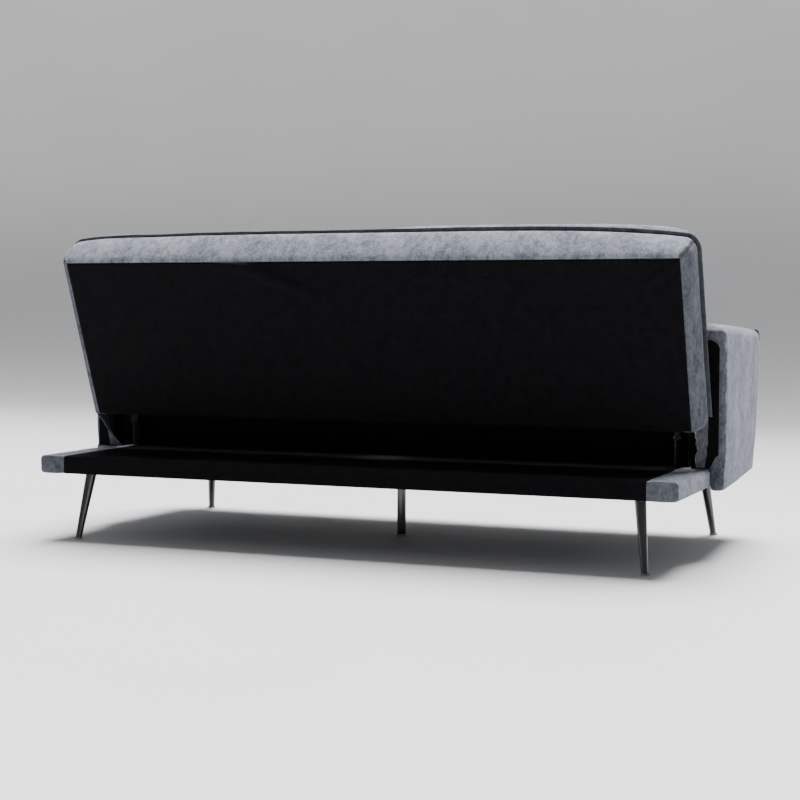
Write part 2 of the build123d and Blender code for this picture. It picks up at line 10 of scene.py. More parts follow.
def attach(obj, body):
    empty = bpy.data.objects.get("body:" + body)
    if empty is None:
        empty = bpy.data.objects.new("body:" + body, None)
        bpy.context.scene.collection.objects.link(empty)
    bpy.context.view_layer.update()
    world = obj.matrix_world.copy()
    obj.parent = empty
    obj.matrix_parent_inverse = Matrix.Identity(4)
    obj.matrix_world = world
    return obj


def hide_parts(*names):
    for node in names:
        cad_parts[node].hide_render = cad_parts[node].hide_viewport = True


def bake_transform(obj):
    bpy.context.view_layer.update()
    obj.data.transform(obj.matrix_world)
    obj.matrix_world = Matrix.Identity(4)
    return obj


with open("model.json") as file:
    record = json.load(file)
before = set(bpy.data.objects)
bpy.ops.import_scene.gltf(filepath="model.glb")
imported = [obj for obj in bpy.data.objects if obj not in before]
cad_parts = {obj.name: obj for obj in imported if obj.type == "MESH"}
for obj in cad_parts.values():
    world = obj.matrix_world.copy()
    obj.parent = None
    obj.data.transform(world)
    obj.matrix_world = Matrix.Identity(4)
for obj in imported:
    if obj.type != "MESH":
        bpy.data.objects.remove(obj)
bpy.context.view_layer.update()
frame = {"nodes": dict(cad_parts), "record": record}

# Looks of a click-clack futon sofa bed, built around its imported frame. Metres.
# +X is the sitter's left, -Y the side people sit from, +Z up.

# ------------------------------------------------------------------ dimensions

LEAN = math.radians(18.3)  # backrest from upright
BACK_ORIGIN = np.array((0.0, 0.184, 0.320))  # lower rear edge of the backrest
BACK_U = np.array((0.0, math.sin(LEAN), math.cos(LEAN)))  # up the backrest
BACK_N = np.array((0.0, -math.cos(LEAN), math.sin(LEAN)))  # forwards
BACK_X = np.array((1.0, 0.0, 0.0))

BASE_HALF = 0.857
BASE_REAR = 0.400
BASE_LOW = 0.177
BASE_TOP = 0.222
BAND = 0.078  # velvet band at each end of the base

PANEL_HALF = 0.826  # rear panel of the backrest
PANEL_TOP = 0.434
BORDER_DEPTH = 0.090
LIP_HALF, LIP_TOP, LIP_RADIUS = 0.8505, 0.4540, 0.028  # seam round the front of the boxing

SEAT_HALF = 0.795
SEAT_FRONT, SEAT_REAR = -0.396, 0.042
SEAT_FRAME_TOP = 0.313

ARM_INNER, ARM_OUTER = 0.808, 0.890
ARM_DROP_INNER = 0.8585  # inner face of the part that hangs outside the base
ARM_FRONT, ARM_REAR = -0.396, 0.086
ARM_LOW, ARM_LEDGE = 0.170, 0.2235
ARM_ROUND = 0.024  # round along the top edges
TAPER_TOP = 0.56  # the outer face draws in below this height

CLOTH = 0.0009  # thickness of the black cloth
STRAP_HALF, STRAP_PITCH, STRAP_COUNT = 0.03, 0.18611, 8

SIDE_STEPS, ARC_STEPS, TOP_STEPS = 44, 14, 150  # points round the backrest's edge
SIDES = ((1, "left"), (-1, "right"))


# --------------------------------------------------------------------- helpers


def back_points(x, u, n):
    """Points of the backrest's own plane, in the part's frame."""
    x, u, n = np.broadcast_arrays(x, u, n)
    return BACK_ORIGIN + x[..., None] * BACK_X + u[..., None] * BACK_U + n[..., None] * BACK_N


def smooth(value, low, high):
    """0 below low, 1 above high, eased between."""
    t = np.clip((np.asarray(value, float) - low) / (high - low), 0, 1)
    return t * t * (3 - 2 * t)


def wrinkles(points, scale, seed=0.0):
    """Smooth noise from -1 to 1 at each point of a grid."""
    flat = np.asarray(points, float).reshape(-1, 3) * scale + seed
    values = [noise.noise(Vector(p)) for p in flat]
    return np.array(values).reshape(np.shape(points)[:-1])


def fold(x, u, start, end, width):
    """A soft ridge along the line from start to end, tapering at both ends."""
    dx, du = end[0] - start[0], end[1] - start[1]
    length = math.hypot(dx, du)
    along = ((x - start[0]) * dx + (u - start[1]) * du) / length**2
    across = ((x - start[0]) * du - (u - start[1]) * dx) / length
    taper = np.sin(np.pi * np.clip(along, 0, 1)) ** 0.7
    return np.exp(-((across / width) ** 2)) * taper


def grid_normals(grid):
    """Unit normals of a grid of points."""
    rows = np.gradient(grid, axis=0)
    cols = np.gradient(grid, axis=1)
    normal = np.cross(rows, cols)
    size = np.linalg.norm(normal, axis=-1, keepdims=True)
    return normal / np.maximum(size, 1e-12)


def add_mesh(name, vertices, faces, material):
    """A smooth-shaded object with that mesh and material."""
    mesh = bpy.data.meshes.new(name)
    mesh.from_pydata([tuple(map(float, v)) for v in vertices], [], faces)
    mesh.validate()
    shell = bmesh.new()
    shell.from_mesh(mesh)
    bmesh.ops.recalc_face_normals(shell, faces=shell.faces)
    shell.to_mesh(mesh)
    shell.free()
    mesh.polygons.foreach_set("use_smooth", [True] * len(mesh.polygons))
    mesh.materials.append(material)
    obj = bpy.data.objects.new(name, mesh)
    bpy.context.scene.collection.objects.link(obj)
    return obj


def quads(rows, cols, first=0, wrap=False):
    """Faces of a grid whose vertices are numbered row by row from first."""
    faces = []
    for i in range(rows - 1):
        for j in range(cols if wrap else cols - 1):
            k = (j + 1) % cols
            a, b = first + i * cols, first + (i + 1) * cols
            faces.append((a + j, a + k, b + k, b + j))
    return faces


def tube(name, grid, material):
    """A closed form from a stack of closed rings, capped at both ends."""
    rows, cols = grid.shape[:2]
    vertices = [*grid.reshape(-1, 3), grid[0].mean(axis=0), grid[-1].mean(axis=0)]
    faces = quads(rows, cols, wrap=True)
    low, high, last = rows * cols, rows * cols + 1, (rows - 1) * cols
    for j in range(cols):
        k = (j + 1) % cols
        faces.append((k, j, low))
        faces.append((last + j, last + k, high))
    return add_mesh(name, vertices, faces, material)


def cloth_sheet(name, grids, thickness, material):
    """Sheets of cloth through grids of points, with real thickness, as one object."""
    vertices, faces = [], []
    for grid in grids:
        rows, cols = grid.shape[:2]
        over, under = len(vertices), len(vertices) + rows * cols
        lift = grid_normals(grid) * thickness / 2
        vertices += [*(grid + lift).reshape(-1, 3), *(grid - lift).reshape(-1, 3)]
        faces += quads(rows, cols, first=over)
        faces += [tuple(reversed(f)) for f in quads(rows, cols, first=under)]
        rim = list(range(cols))
        rim += [i * cols + cols - 1 for i in range(1, rows)]
        rim += [(rows - 1) * cols + j for j in range(cols - 2, -1, -1)]
        rim += [i * cols for i in range(rows - 2, 0, -1)]
        for a, b in zip(rim, rim[1:] + rim[:1]):
            faces.append((over + b, over + a, under + a, under + b))
    return add_mesh(name, vertices, faces, material)


def shade_where(obj, material, test):
    """Gives another material to the faces whose centre and normal pass the test."""
    obj.data.materials.append(material)
    for face in obj.data.polygons:
        if test(face.center, face.normal):
            face.material_index = len(obj.data.materials) - 1


# ------------------------------------------------------------------- materials


def new_material(name, rough, metal=0.0):
    """A node material with its nodes, links and shader."""
    material = bpy.data.materials.new(name)
    material.use_nodes = True
    nodes = material.node_tree.nodes
    shader = nodes["Principled BSDF"]
    shader.inputs["Roughness"].default_value = rough
    shader.inputs["Metallic"].default_value = metal
    return material, nodes, material.node_tree.links, shader


def noise_node(nodes, links, scale, detail=4.0, stretch=(1, 1, 1)):
    """Noise over the part's frame, stretched along its axes."""
    place = nodes.new("ShaderNodeTexCoord")
    mapping = nodes.new("ShaderNodeMapping")
    mapping.inputs["Scale"].default_value = stretch
    texture = nodes.new("ShaderNodeTexNoise")
    texture.inputs["Scale"].default_value = scale
    texture.inputs["Detail"].default_value = detail
    links.new(place.outputs["Object"], mapping.inputs["Vector"])
    links.new(mapping.outputs["Vector"], texture.inputs["Vector"])
    return texture.outputs["Fac"]


def ramp_node(nodes, links, source, stops):
    """Colours along a value: stops are (position, (r, g, b))."""
    ramp = nodes.new("ShaderNodeValToRGB")
    while len(ramp.color_ramp.elements) < len(stops):
        ramp.color_ramp.elements.new(0.5)
    for element, (position, colour) in zip(ramp.color_ramp.elements, stops):
        element.position = position
        element.color = (*colour, 1)
    links.new(source, ramp.inputs["Fac"])
    return ramp.outputs["Color"]


def blend_colours(nodes, links, a, b, share):
    """The first colour with that share of the second."""
    mix = nodes.new("ShaderNodeMix")
    mix.data_type = "RGBA"
    mix.inputs["Factor"].default_value = share
    links.new(a, mix.inputs["A"])
    links.new(b, mix.inputs["B"])
    return mix.outputs["Result"]


def add_bump(nodes, links, shader, heights):
    """Chains bumps: heights are (socket, strength, distance)."""
    previous = None
    for socket, strength, distance in heights:
        bump = nodes.new("ShaderNodeBump")
        bump.inputs["Strength"].default_value = strength
        bump.inputs["Distance"].default_value = distance
        links.new(socket, bump.inputs["Height"])
        if previous:
            links.new(previous, bump.inputs["Normal"])
        previous = bump.outputs["Normal"]
    links.new(previous, shader.inputs["Normal"])


def velvet_material(name, dark, light, sheen):
    """Pile brushed this way and that, between a dark and a light tone."""
    material, nodes, links, shader = new_material(name, 0.95)
    clouds = noise_node(nodes, links, 13.0, 5.0, (1, 1, 0.7))
    brushed = noise_node(nodes, links, 62.0, 3.0, (1, 1, 0.55))
    pile = noise_node(nodes, links, 1400.0, 2.0)
    broad = ramp_node(nodes, links, clouds, [(0.40, dark), (0.60, light)])
    fine = ramp_node(nodes, links, brushed, [(0.36, dark), (0.62, light)])
    dabs = noise_node(nodes, links, 190.0, 4.0, (1, 1, 0.55))
    speckle = ramp_node(nodes, links, dabs, [(0.40, dark), (0.60, light)])
    colour = blend_colours(nodes, links, broad, fine, 0.55)
    colour = blend_colours(nodes, links, colour, speckle, 0.35)
    links.new(colour, shader.inputs["Base Color"])
    shader.inputs["Sheen Weight"].default_value = sheen
    shader.inputs["Sheen Roughness"].default_value = 0.4
    shader.inputs["Sheen Tint"].default_value = (*light, 1)
    shader.inputs["Specular IOR Level"].default_value = 0.15
    add_bump(nodes, links, shader, [(brushed, 0.25, 0.002), (pile, 0.35, 0.0006)])
    return material


def dust_cloth_material():
    """Thin black cloth with a visible weave, slubs and lint."""
    material, nodes, links, shader = new_material("black dust cloth", 0.9)
    lint = noise_node(nodes, links, 45.0, 6.0)
    place = nodes.new("ShaderNodeTexCoord")
    weave = []
    for direction in ("X", "Z"):
        wave = nodes.new("ShaderNodeTexWave")
        wave.bands_direction = direction
        wave.inputs["Scale"].default_value = 260.0
        wave.inputs["Distortion"].default_value = 1.5
        links.new(place.outputs["Object"], wave.inputs["Vector"])
        weave.append(wave.outputs["Fac"])
    slub = noise_node(nodes, links, 320.0, 3.0, (0.25, 1, 1))
    lint_stops = [(0.3, (0.0022, 0.0022, 0.0028)), (0.75, (0.0052, 0.0052, 0.0062))]
    slub_stops = [(0.35, (0.001, 0.001, 0.0015)), (0.8, (0.007, 0.007, 0.008))]
    tone = ramp_node(nodes, links, lint, lint_stops)
    thread = ramp_node(nodes, links, slub, slub_stops)
    links.new(blend_colours(nodes, links, tone, thread, 0.4), shader.inputs["Base Color"])
    shader.inputs["Specular IOR Level"].default_value = 0.06
    bumps = [(weave[0], 0.2, 0.0005), (weave[1], 0.2, 0.0005), (slub, 0.3, 0.0006)]
    add_bump(nodes, links, shader, bumps)
    return material


def enamel_material():
    """Gloss black, a little smeared and orange-peeled."""
    material, nodes, links, shader = new_material("gloss black enamel", 0.2)
    smear = noise_node(nodes, links, 60.0, 5.0, (1, 1, 0.2))
    peel = noise_node(nodes, links, 900.0, 2.0)
    tone = ramp_node(nodes, links, smear, [(0.3, (0.006, 0.006, 0.007)), (0.8, (0.016, 0.015, 0.015))])
    gloss = ramp_node(nodes, links, smear, [(0.3, (0.14,) * 3), (0.8, (0.3,) * 3)])
    links.new(tone, shader.inputs["Base Color"])
    links.new(gloss, shader.inputs["Roughness"])
    shader.inputs["Coat Weight"].default_value = 0.5
    shader.inputs["Coat Roughness"].default_value = 0.08
    add_bump(nodes, links, shader, [(peel, 0.05, 0.0002)])
    return material


def blotched_material(name, dark, light, rough, metal):
    """A slightly blotched and grained surface, for painted metal, for steel darkened as painted shade, and
    for webbing.
    """
    material, nodes, links, shader = new_material(name, rough, metal)
    blotch = noise_node(nodes, links, 85.0, 5.0)
    grain = noise_node(nodes, links, 700.0, 2.0, (1, 0.1, 1))
    tone = ramp_node(nodes, links, blotch, [(0.3, dark), (0.75, light)])
    links.new(tone, shader.inputs["Base Color"])
    low, high = (rough * 0.8,) * 3, (min(1.0, rough * 1.3),) * 3
    links.new(ramp_node(nodes, links, blotch, [(0.3, low), (0.7, high)]), shader.inputs["Roughness"])
    add_bump(nodes, links, shader, [(grain, 0.1, 0.0002)])
    return material


def glide_material():
    """Grey plastic that lets a little light in."""
    material, nodes, links, shader = new_material("grey glide plastic", 0.35)
    haze = noise_node(nodes, links, 240.0, 3.0)
    tone = ramp_node(nodes, links, haze, [(0.3, (0.2, 0.2, 0.21)), (0.7, (0.32, 0.32, 0.33))])
    links.new(tone, shader.inputs["Base Color"])
    shader.inputs["Subsurface Weight"].default_value = 0.2
    shader.inputs["Subsurface Radius"].default_value = (0.002, 0.002, 0.002)
    add_bump(nodes, links, shader, [(haze, 0.1, 0.0003)])
    return material


def timber_material():
    """Softwood with its grain along X."""
    material, nodes, links, shader = new_material("planed softwood", 0.7)
    rings = noise_node(nodes, links, 28.0, 6.0, (0.12, 1.0, 2.5))
    fibres = noise_node(nodes, links, 420.0, 3.0, (0.05, 1.0, 1.0))
    stops = [(0.3, (0.30, 0.19, 0.10)), (0.5, (0.47, 0.33, 0.19)), (0.7, (0.58, 0.43, 0.27))]
    tone = ramp_node(nodes, links, rings, stops)
    fine = ramp_node(nodes, links, fibres, [(0.3, (0.32, 0.21, 0.12)), (0.7, (0.6, 0.45, 0.29))])
    links.new(blend_colours(nodes, links, tone, fine, 0.35), shader.inputs["Base Color"])
    add_bump(nodes, links, shader, [(fibres, 0.2, 0.0004)])
    return material


def floor_material():
    """Pale grey floor and backdrop."""
    material, nodes, links, shader = new_material("studio floor", 0.6)
    haze = noise_node(nodes, links, 1.3, 2.0)
    tone = ramp_node(nodes, links, haze, [(0.3, (0.60, 0.60, 0.604)), (0.7, (0.62, 0.62, 0.624))])
    links.new(tone, shader.inputs["Base Color"])
    shader.inputs["Specular IOR Level"].default_value = 0.1
    return material


velvet = velvet_material("blue grey velvet", (0.074, 0.081, 0.100), (0.252, 0.268, 0.308), 0.35)
# Darker copy of the velvet: painted shade for faces turned away from the lamps.
velvet_painted_shade = velvet_material("velvet with painted shade", (0.032, 0.035, 0.046), (0.118, 0.125, 0.146), 0.2)
# Darker still: deep painted shade for the lips and gussets.
velvet_deep_painted_shade = velvet_material("velvet with deep painted shade", (0.022, 0.024, 0.030), (0.070, 0.074, 0.086), 0.15)
# Darkest copy: painted shade in the seams' grooves and on the frame's dark velvet.
velvet_darkest_painted_shade = velvet_material("velvet with darkest painted shade", (0.018, 0.019, 0.024), (0.050, 0.053, 0.064), 0.15)
dust_cloth = dust_cloth_material()
webbing = blotched_material(
    "black elastic webbing", (0.010, 0.010, 0.011), (0.030, 0.030, 0.032), 0.85, 0.0
)
enamel = enamel_material()
timber = timber_material()
# Black paint, darkened further: partly real paint and partly painted shade in the hinge gap.
hinge_paint_and_painted_shade = blotched_material(
    "black hinge paint and painted shade", (0.003, 0.003, 0.0035), (0.009, 0.009, 0.009), 0.6, 0.0
)
# The bright steel pins and screws darkened: painted shade in the hinge gap.
painted_shade_darkened = blotched_material(
    "blackened zinc", (0.020, 0.020, 0.021), (0.055, 0.055, 0.056), 0.5, 0.7
)
glide_plastic = glide_material()

finishes = {
    "timber": timber,
    "leg_metal": enamel,
    "hinge_steel": hinge_paint_and_painted_shade,
    "bright_steel": painted_shade_darkened,
    "glide_plastic": glide_plastic,
    "black_cloth": dust_cloth,
    "webbing": webbing,
    "velvet": velvet,
    # the frame's dark velvet gets the darkest painted shade
    "velvet_dark": velvet_darkest_painted_shade,
}
slots = {s["node"]: s["material_slot"] for s in frame["record"]["subparts"]}
for node, obj in frame["nodes"].items():
    obj.data.materials.clear()
    obj.data.materials.append(finishes[slots[node]])

# -------------------------------------------------------------- backrest parts


def arch_path(half, top, radius, side_steps, arc_steps, top_steps, low=0.0):
    """Points and outward directions from the lower +X corner, over the top, to -X."""
    points, outwards = [], []

    def put(x, u, angle):
        points.append((x, u))
        outwards.append((math.cos(angle), math.sin(angle)))

    for t in np.linspace(0, 1, side_steps, endpoint=False):
        put(half, low + (top - radius - low) * t, 0)
    for t in np.linspace(0, 1, arc_steps, endpoint=False):
        a = math.pi / 2 * t
        put(half - radius + radius * math.cos(a), top - radius + radius * math.sin(a), a)
    for t in np.linspace(0, 1, top_steps, endpoint=False):
        put((half - radius) * (1 - 2 * t), top, math.pi / 2)
    for t in np.linspace(0, 1, arc_steps, endpoint=False):
        a = math.pi / 2 * (1 + t)
        put(-half + radius + radius * math.cos(a), top - radius + radius * math.sin(a), a)
    for t in np.linspace(0, 1, side_steps):
        put(-half, top - radius + (low - top + radius) * t, math.pi)
    return np.array(points), np.array(outwards)


def crown(x):
    """How far the top front edge rises between the corners."""
    return 0.0295 * (1 - np.minimum(np.abs(x) / 0.87, 1) ** 5) + 0.008 * smooth(x, 0.55, 0.80)


def drift(x):
    """The upholstery sits a little further out at the sitter's right end."""
    return x - 0.009 * smooth(-x, 0.30, 0.82) + 0.003 * smooth(x, 0.40, 0.82)


def narrow(x, u):
    """The upholstery draws in towards the lower corner at the sitter's left end."""
    return x - 0.009 * smooth(x, 0.60, 0.82) * (1 - u / PANEL_TOP)


def boxing_shape(share):
    """Half width, height and corner radius of the boxing; share is 0 at the rear, 1 in front."""
    return PANEL_HALF + 0.022 * share, PANEL_TOP + 0.018 * share, 0.006 + 0.020 * share


def boxing():
    """Velvet over the foam on the sides and top of the backrest."""
    # (depth from the rear face, how far out of the boxing's plain shape)
    section = [
        (0.0035, -0.030), (0.0006, -0.022), (0.0002, -0.010), (0.0004, -0.002), (0.0020, 0.0030),
        (0.0060, 0.0065), (0.0120, 0.0090), (0.0200, 0.0110), (0.0320, 0.0118), (0.0450, 0.0105),
        (0.0580, 0.0082), (0.0700, 0.0052), (0.0800, 0.0018), (0.0870, -0.0025), (0.0895, -0.0080),
        (0.0880, -0.0300), (0.0450, -0.0340),
    ]
    rows = []
    for n, out in section:
        share = n / BORDER_DEPTH
        path, outward = arch_path(*boxing_shape(share), SIDE_STEPS, ARC_STEPS, TOP_STEPS)
        on_top = outward[:, 1]
        fuller = 1 + 0.25 * (outward[:, 0] > 0.5) * (out > 0)
        x = narrow(path[:, 0] + outward[:, 0] * out * fuller, path[:, 1])
        u = path[:, 1] + outward[:, 1] * out + crown(path[:, 0]) * on_top * smooth(share, 0.0, 1.0)
        rows.append(back_points(drift(x), u, np.full(len(x), n)))
    grid = np.array(rows).transpose(1, 0, 2)
    count = grid.shape[0]
    depth = np.array([s[0] for s in section])[None, :]
    outer = np.array([1.0 if s[1] > -0.009 else 0.0 for s in section])[None, :]
    place = np.arange(count)[:, None]
    # outward is the same at every depth
    normal = (outward[:, :1] * BACK_X + outward[:, 1:] * BACK_U)[:, None, :]
    ripple = wrinkles(grid, 13.0, 3.1) * 0.0016 + wrinkles(grid, 38.0, 9.0) * 0.0007
    bulge = np.sin(np.pi * np.clip(depth / BORDER_DEPTH, 0, 1))
    seam = np.zeros((count, 1))
    for corner in (SIDE_STEPS + ARC_STEPS / 2, count - SIDE_STEPS - ARC_STEPS / 2):
        seam += np.exp(-(((place - corner) / 1.3) ** 2))
    lift = (ripple * bulge - 0.0022 * seam * bulge**0.5) * outer
    grid = grid + normal * lift[..., None]
    return tube("back_boxing", grid, velvet)


back_boxing = boxing()


def boxing_painted_shade_faces(centre, normal):
    """Faces outside the corner mitres or under the lower ends, which get painted shade."""
    u = float(np.dot(np.array(centre) - BACK_ORIGIN, BACK_U))
    below = float(np.dot(normal, BACK_U)) < -0.4
    return below or abs(centre.x) - PANEL_HALF > u - PANEL_TOP


# painted shade on the boxing's sides and lower ends
shade_where(back_boxing, velvet_painted_shade, boxing_painted_shade_faces)
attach(back_boxing, "back")
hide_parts("back_left_border", "back_right_border", "back_top_border")


def flange():
    """Thin double seam lip round the front of the boxing."""
    # (depth from the rear face, how far out of the lip's plain shape)
    section = [
        (0.0888, -0.020), (0.0888, -0.006), (0.0880, 0.000), (0.0876, 0.0040), (0.0890, 0.0068),
        (0.0912, 0.0078), (0.0936, 0.0066), (0.0948, 0.0036), (0.0946, -0.004), (0.0944, -0.020),
    ]
    middle = 0.0912
    rows = []
    for n, out in section:
        path, outward = arch_path(
            LIP_HALF, LIP_TOP, LIP_RADIUS, SIDE_STEPS, ARC_STEPS, TOP_STEPS, low=0.004
        )
        x = narrow(path[:, 0] + outward[:, 0] * out, path[:, 1])
        u = path[:, 1] + outward[:, 1] * out + crown(path[:, 0]) * outward[:, 1]
        lip = np.where(outward[:, 1] > 0.9, 0.25 + 0.40 * smooth(-x, -0.2, 0.45), 0.6)
        grow = (np.maximum(out, 0) * (lip - 1))[:, None]
        ring = back_points(drift(x), u, np.full(len(x), middle + (n - middle) * 0.7))
        rows.append(ring + grow * (outward[:, :1] * BACK_X + outward[:, 1:] * BACK_U))
    grid = np.array(rows).transpose(1, 0, 2)
    wave = wrinkles(grid, 16.0, 5.0) * 0.0022 + wrinkles(grid, 45.0, 2.0) * 0.0008
    grid = grid + wave[..., None] * BACK_N
    # the lip is given deep painted shade
    return tube("back_seam_flange", grid, velvet_deep_painted_shade)


back_flange = flange()
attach(back_flange, "back")
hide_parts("back_flange")


def back_cloth():
    """Black dust cloth over the rear of the backrest, turned in under its lower edge."""
    half, top, turn = 0.8245, 0.4315, 0.007
    proud, under = 0.0012, 0.0008  # off the rear face, and below the lower edge
    route = [(u, -proud) for u in np.linspace(top, turn, 62)]
    for a in np.linspace(0.15, 1.0, 7) * math.pi / 2:
        route.append((turn - turn * math.sin(a) - under, turn - turn * math.cos(a) - proud))
    route += [(-under, n) for n in np.linspace(0.011, 0.088, 14)]
    x = np.linspace(-half, half, 231)[None, :]
    u = np.array([r[0] for r in route])[:, None]
    n = np.array([r[1] for r in route])[:, None]
    x, u = np.broadcast_arrays(x, u)
    x = x - smooth(x, 0.5, half) * (0.004 + 0.011 * (1 - u / top))
    grid = back_points(drift(x), u, n)
    inside = smooth(half - np.abs(x), 0.0, 0.03) * smooth(top - u, 0.0, 0.02)
    drape = wrinkles(grid, 5.0, 1.0) * 0.0022 + wrinkles(grid, 17.0, 4.0) * 0.0007
    slack = fold(x, u, (0.36, 0.440), (0.06, 0.330), 0.014) * 0.011
    slack += fold(x, u, (0.40, 0.428), (0.20, 0.405), 0.009) * 0.006
    slack += fold(x, u, (-0.10, 0.400), (-0.42, 0.372), 0.016) * 0.004
    pleats = 0.0
    for start, end, size in (
        ((-0.815, 0.425), (-0.745, 0.365), 0.0050),
        ((-0.822, 0.405), (-0.770, 0.330), 0.0040),
        ((-0.800, 0.430), (-0.700, 0.400), 0.0035),
        ((-0.770, 0.000), (-0.720, 0.060), 0.0035),
        ((-0.740, 0.000), (-0.700, 0.045), 0.0030),
        ((0.800, 0.020), (0.760, 0.120), 0.0030),
    ):
        pleats += fold(x, u, start, end, 0.007) * size
    out = (drape * inside + slack + pleats) * (n < 0.002)
    # the lower part stays close, since it lies just over the base when flat
    out = np.minimum(out, 0.0012 + 0.02 * smooth(u, 0.31, 0.37))
    grid = grid - out[..., None] * BACK_N
    return cloth_sheet("back_dust_cloth", [grid], CLOTH, dust_cloth)


back_dust_cloth = back_cloth()
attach(back_dust_cloth, "back")
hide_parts("back_cloth")


def seam_line(name, points, radius, material, body):
    """A thin round seam along a line of points."""
    points = np.array(points, float)
    along = np.gradient(points, axis=0)
    along /= np.linalg.norm(along, axis=1, keepdims=True)
    side = np.cross(along, np.array((0.31, 0.22, 0.92)))
    side /= np.linalg.norm(side, axis=1, keepdims=True)
    up = np.cross(side, along)
    turn = np.linspace(0, 2 * math.pi, 7)[None, :-1, None]
    ring = np.cos(turn) * side[:, None, :] + np.sin(turn) * up[:, None, :]
    obj = tube(name, points[:, None, :] + radius * ring, material)
    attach(obj, body)


def front_seam():
    """The stitched line between the boxing and the lip round its front."""
    sunk = -0.0035
    path, outward = arch_path(LIP_HALF, LIP_TOP, LIP_RADIUS, SIDE_STEPS, ARC_STEPS, TOP_STEPS, low=0.006)
    x = narrow(path[:, 0] + outward[:, 0] * sunk, path[:, 1])
    u = path[:, 1] + outward[:, 1] * sunk + crown(path[:, 0]) * outward[:, 1]
    line = back_points(drift(x), u, np.full(len(x), 0.0878))
    # the seam is given the darkest painted shade
    seam_line("back_front_seam", line, 0.0020, velvet_darkest_painted_shade, "back")


front_seam()


def mitre_seams():
    """The seam of the boxing across each upper corner, from the rear panel to the front."""
    for side, name in SIDES:
        line = []
        for n in np.linspace(0.0005, 0.0885, 26):
            share = n / BORDER_DEPTH
            half, top, radius = boxing_shape(share)
            inset = radius * (1 - math.sqrt(0.5))
            out = 0.0118 * math.sin(math.pi * min(1.0, (share + 0.04) ** 0.6)) / math.sqrt(2) - 0.0008
            x = half - inset + out
            u = top - inset + out + float(crown(x)) * share**2 * 0.7
            line.append(back_points(drift(np.array(side * x)), np.array(u), np.array(n)))
        # the seam is given the darkest painted shade
        seam_line(f"back_mitre_seam_{name}", line, 0.0011, velvet_darkest_painted_shade, "back")


mitre_seams()


def gusset(side, name, foot_x):
    """Slack velvet gusset between the backrest's lower corner and the base."""
    rows, cols = 40, 26
    v = np.linspace(0, 1, rows)[:, None]
    w = np.linspace(0, 1, cols)[None, :]
    # the top edge runs forwards along the backrest's end, the foot along the base
    top_n = 0.004 + 0.082 * w
    top = back_points(narrow(side * 0.829, 0.0) * side + 0.021 * w, np.full_like(top_n, 0.004), top_n)[0]
    low_y = 0.110 - 0.018 * w[0]
    foot = np.column_stack([foot_x + (0.835 - foot_x) * w[0], low_y, np.full(cols, 0.2262)])
    ease = v**1.15
    grid = top[None] * (1 - ease[..., None]) + foot[None] * ease[..., None]
    belly = np.sin(np.pi * v) * (0.6 + 0.4 * np.sin(np.pi * w))
    grid[..., 0] += 0.004 * belly
    held = np.sin(np.pi * np.clip(v + 0.12, 0, 1))
    crease = np.sin(w * 15.0 + v * 6.0 + 1.4 * np.sin(v * 8.0)) * 0.0042 * held
    crumple = wrinkles(grid, 42.0, 5.0) * 0.0066 + wrinkles(grid, 95.0, 8.0) * 0.0026
    grid[..., 0] += crease + crumple * np.sin(np.pi * np.clip(v + 0.08, 0, 1))
    grid[..., 0] = np.minimum(grid[..., 0], 0.846)
    grid[..., 0] *= side
    grid[..., 0] = drift(grid[..., 0])
    if side < 0:
        grid = grid[:, ::-1]
    obj = cloth_sheet(f"hinge_gusset_{name}", [grid], 0.0011, velvet_deep_painted_shade)
    obj.data.materials.append(velvet)
    # the cloth carries deep painted shade; a lighter hem of the plain velvet runs down one edge, on both
    # faces of the cloth
    hem = 0 if side > 0 else cols - 2
    on_cloth = 2 * (rows - 1) * (cols - 1)
    for index, face in enumerate(obj.data.polygons):
        if index % (cols - 1) == hem and index < on_cloth:
            face.material_index = 1
    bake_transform(obj)


gusset(1, "left", 0.786)
gusset(-1, "right", 0.818)


def cushion(name, place, outline, thickness, shape, crown_height):
    """A crowned closed form.

    outline(s, t) gives the two plan coordinates for s, t from -1 to 1, place turns
    plan coordinates and height into the part's frame, and shape is the exponent that
    sets how square the edges are.
    """
    count_s, count_t = 64, 48
    s = np.sin(np.linspace(-1, 1, count_s) * math.pi / 2)[None, :]
    t = np.sin(np.linspace(-1, 1, count_t) * math.pi / 2)[:, None]
    s, t = np.broadcast_arrays(s, t)
    p, q = outline(s * (1 - 0.03 * np.abs(t) ** 10), t * (1 - 0.06 * np.abs(s) ** 10))
    body = ((1 - np.abs(s) ** shape) * (1 - np.abs(t) ** shape)) ** (1 / 2.4)
    dome = (1 - s**2) * (1 - t**2)
    middle = thickness / 2
    upper = middle + body * thickness / 2 + crown_height * dome
    seated = ((1 - np.abs(s) ** (3 * shape)) * (1 - np.abs(t) ** (3 * shape))) ** (1 / 2.4)
    lower = middle - seated * thickness / 2
    top = place(p, q, upper)
    under = place(p, q, lower)
    ripple = (wrinkles(top, 9.0, 2.0) * 0.0025 + wrinkles(top, 27.0, 7.0) * 0.0009) * body
    top = top + grid_normals(top) * ripple[..., None]
    rows, cols = s.shape
    vertices = [*top.reshape(-1, 3)]
    index = {}
    for i in range(rows):
        for j in range(cols):
            if i in (0, rows - 1) or j in (0, cols - 1):
                index[i, j] = i * cols + j
            else:
                index[i, j] = len(vertices)
                vertices.append(under[i, j])
    faces = quads(rows, cols)
    for i in range(rows - 1):
        for j in range(cols - 1):
            ring = (index[i, j], index[i + 1, j], index[i + 1, j + 1], index[i, j + 1])
            faces.append(ring)
    return add_mesh(name, vertices, faces, velvet)


def pulled(s, t, low, high, pull):
    """Plan coordinates between two limits, with the sides drawn in between the corners."""
    p = (low[0] + high[0]) / 2 + (high[0] - low[0]) / 2 * s * (1 - pull * (1 - t**2) * np.abs(s) ** 3)
    q = (low[1] + high[1]) / 2 + (high[1] - low[1]) / 2 * t * (1 - pull * (1 - s**2) * np.abs(t) ** 3)
    return p, q


